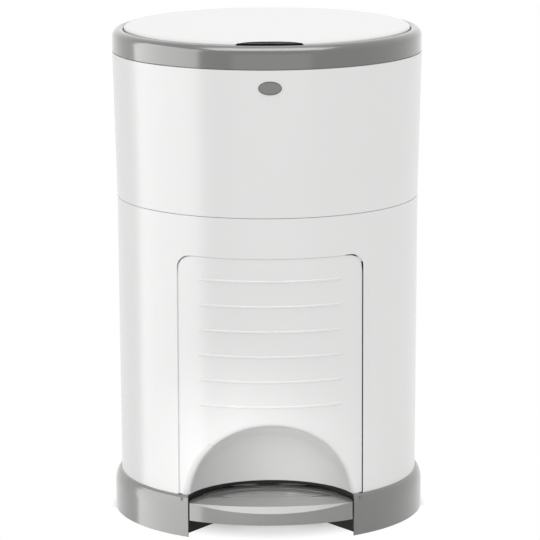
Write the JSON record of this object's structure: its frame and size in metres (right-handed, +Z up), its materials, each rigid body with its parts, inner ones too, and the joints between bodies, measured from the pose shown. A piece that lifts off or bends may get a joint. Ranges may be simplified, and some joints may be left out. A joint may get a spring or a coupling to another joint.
{
  "type": "nappy bin",
  "caption": "Round pedal nappy bin in two housings: rimmed hinged lid, sprung trap flaps, film cassette, ribbed front door and a toe space with a lever pedal.",
  "frame": {"origin": "middle of the footprint, on the floor under the rubber feet", "axes": "+Z up, the front with the pedal, door and button faces -Y, +X is to the right of someone who stands in front of the bin and looks at it"},
  "size_m": [0.3, 0.2998, 0.4768],
  "materials": {
    "white_plastic": "satin moulded white",
    "grey_plastic": "satin moulded mid grey",
    "pale_plastic": "smooth pale grey",
    "film": "pleated thin film",
    "zinc_steel": "zinc plated",
    "spring_steel": "bright wire or strip",
    "foot_rubber": "matt",
    "seal_rubber": "soft matt lip"
  },
  "bodies": {
    "bin": {"base_ring": "grey_plastic", "rubber_feet": "foot_rubber", "base_screws": "zinc_steel", "pedal_axle": "zinc_steel", "return_spring": "spring_steel", "lower_housing": "white_plastic", "toe_dome": "white_plastic", "cassette_deck": "white_plastic", "cassette_tray": "pale_plastic", "film_pack": "film", "cassette_cover": "pale_plastic", "latch_strike": "zinc_steel", "lower_rod_guide": "pale_plastic"},
    "pedal": {"pedal_pad": "grey_plastic", "pedal_lever": "zinc_steel", "pedal_screws": "zinc_steel"},
    "lower_rod": {"lower_push_rod": "zinc_steel"},
    "door": {"front_door": "white_plastic", "door_hinge_pins": "zinc_steel", "film_cutter": "grey_plastic", "cutter_blade": "spring_steel"},
    "upper_housing": {"upper_housing": "white_plastic", "seam_hinge_pin": "zinc_steel", "rim_ring": "grey_plastic", "chute": "white_plastic", "chute_screws": "zinc_steel", "flap_pins": "zinc_steel", "flap_springs": "spring_steel", "lid_hinge_brackets": "zinc_steel", "upper_rod_guide": "white_plastic", "latch_pivot_pin": "zinc_steel", "latch_spring": "spring_steel"},
    "upper_rod": {"upper_push_rod": "zinc_steel"},
    "lid": {"lid": "white_plastic", "lid_liner": "white_plastic", "lid_seal": "seal_rubber", "lid_lever": "zinc_steel", "lid_hinge_pin": "zinc_steel"},
    "button": {"release_button": "grey_plastic"},
    "latch": {"latch_lever": "grey_plastic"},
    "left_flap": {"left_flap": "pale_plastic"},
    "right_flap": {"right_flap": "pale_plastic"}
  },
  "joints": [
    {"name": "pedal_press", "type": "hinge", "parent": "bin", "child": "pedal", "pos_m": [0, -0.042, 0.02], "axis": [1, 0, 0], "range_deg": [0, 6.5], "stiffness_Nm_per_rad": 4, "springref_deg": -5.73, "deforming": ["return_spring"]},
    {"name": "lower_rod_lift", "type": "slide", "parent": "bin", "child": "lower_rod", "axis": [0, 0, 1], "range_m": [0, 0.0187]},
    {"name": "door_open", "type": "hinge", "parent": "bin", "child": "door", "pos_m": [0.084, -0.11213, 0.04], "axis": [0, -0.0073, 1], "range_deg": [0, 76]},
    {"name": "upper_housing_open", "type": "hinge", "parent": "bin", "child": "upper_housing", "pos_m": [0, 0.1437, 0.312], "axis": [-1, 0, 0], "range_deg": [0, 85]},
    {"name": "upper_rod_lift", "type": "slide", "parent": "upper_housing", "child": "upper_rod", "axis": [0, 0, 1], "range_m": [0, 0.0187]},
    {"name": "lid_open", "type": "hinge", "parent": "upper_housing", "child": "lid", "pos_m": [0, 0.1344, 0.4734], "axis": [-1, 0, 0], "range_deg": [0, 80]},
    {"name": "button_press", "type": "slide", "parent": "upper_housing", "child": "button", "axis": [0, 1, 0], "range_m": [0, 0.0035], "stiffness_N_per_m": 300, "springref_m": -0.004},
    {"name": "latch_turn", "type": "hinge", "parent": "upper_housing", "child": "latch", "pos_m": [0, -0.13645, 0.37], "axis": [-1, 0, 0], "range_deg": [0, 3.2]},
    {"name": "left_flap_drop", "type": "hinge", "parent": "upper_housing", "child": "left_flap", "pos_m": [-0.066, 0, 0.4326], "axis": [0, 1, 0], "range_deg": [0, 75], "stiffness_Nm_per_rad": 0.05, "springref_deg": -68.75},
    {"name": "right_flap_drop", "type": "hinge", "parent": "upper_housing", "child": "right_flap", "pos_m": [0.066, 0, 0.4326], "axis": [0, -1, 0], "range_deg": [0, 75], "stiffness_Nm_per_rad": 0.05, "springref_deg": -68.75}
  ],
  "couplings": [
    {"joint": "lower_rod_lift", "follows": "pedal_press", "m_per_rad": 0.16471},
    {"joint": "upper_rod_lift", "follows": "pedal_press", "m_per_rad": 0.16471},
    {"joint": "lid_open", "follows": "pedal_press", "ratio": 12.307},
    {"joint": "latch_turn", "follows": "button_press", "rad_per_m": 15.5}
  ]
}
